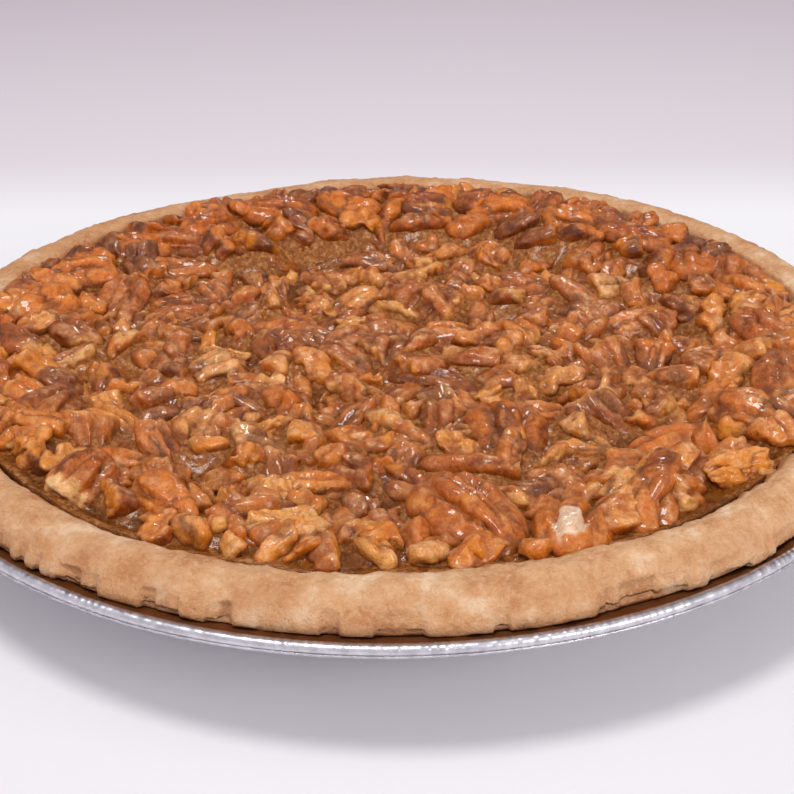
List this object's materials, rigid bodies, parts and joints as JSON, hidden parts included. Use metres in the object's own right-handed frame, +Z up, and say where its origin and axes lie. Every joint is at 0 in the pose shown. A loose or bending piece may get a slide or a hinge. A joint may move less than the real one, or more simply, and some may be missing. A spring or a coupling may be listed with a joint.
{
  "type": "pecan pie",
  "caption": "Whole baked pecan pie in its round foil tin, with a plain pastry rim and a nut filling banked against it; free-standing food.",
  "frame": {"origin": "centre of the tin's flat underside", "axes": "+Z up; the pie's front, which the picture shows nearest, faces -Y"},
  "size_m": [0.244, 0.244, 0.0398],
  "materials": {
    "foil": "bright crimped foil",
    "pastry": "matte baked pastry, stands in for food",
    "filling": "glossy set syrup and chopped nuts, stands in for food",
    "pecan_skin": "glazed pecan skin, stands in for food",
    "pecan_flesh": "glazed broken pecan, stands in for food"
  },
  "bodies": {
    "root": {"foil_pan": "foil", "nut_filling": "filling", "pecan_half_01": "pecan_skin", "pecan_half_02": "pecan_skin", "pecan_half_03": "pecan_skin", "pecan_half_04": "pecan_skin", "pecan_half_05": "pecan_skin", "pecan_half_06": "pecan_skin", "pecan_half_07": "pecan_skin", "pecan_half_08": "pecan_skin", "pecan_half_09": "pecan_skin", "pecan_half_10": "pecan_skin", "pecan_half_11": "pecan_skin", "pecan_half_12": "pecan_skin", "pecan_half_13": "pecan_skin", "pecan_half_14": "pecan_skin", "pecan_half_15": "pecan_skin", "pecan_half_16": "pecan_skin", "pecan_half_17": "pecan_skin", "pecan_half_18": "pecan_skin", "pecan_half_19": "pecan_skin", "pecan_half_20": "pecan_skin", "pecan_half_21": "pecan_skin", "pecan_half_22": "pecan_skin", "pecan_half_23": "pecan_skin", "pecan_half_24": "pecan_skin", "pecan_half_25": "pecan_skin", "pecan_half_26": "pecan_skin", "pecan_half_27": "pecan_skin", "pecan_half_28": "pecan_skin", "pecan_half_29": "pecan_skin", "pecan_half_30": "pecan_skin", "pecan_half_31": "pecan_skin", "pecan_half_32": "pecan_skin", "pecan_half_33": "pecan_skin", "pecan_half_34": "pecan_skin", "pecan_half_35": "pecan_skin", "pecan_piece_01": "pecan_flesh", "pecan_piece_02": "pecan_flesh", "pecan_piece_03": "pecan_flesh", "pecan_piece_04": "pecan_flesh", "pecan_piece_05": "pecan_flesh", "pecan_piece_06": "pecan_flesh", "pecan_piece_07": "pecan_flesh", "pecan_piece_08": "pecan_flesh", "pecan_piece_09": "pecan_flesh", "pecan_piece_10": "pecan_flesh", "pecan_piece_11": "pecan_flesh", "pecan_piece_12": "pecan_flesh", "pie_crust": "pastry"}
  },
  "joints": []
}
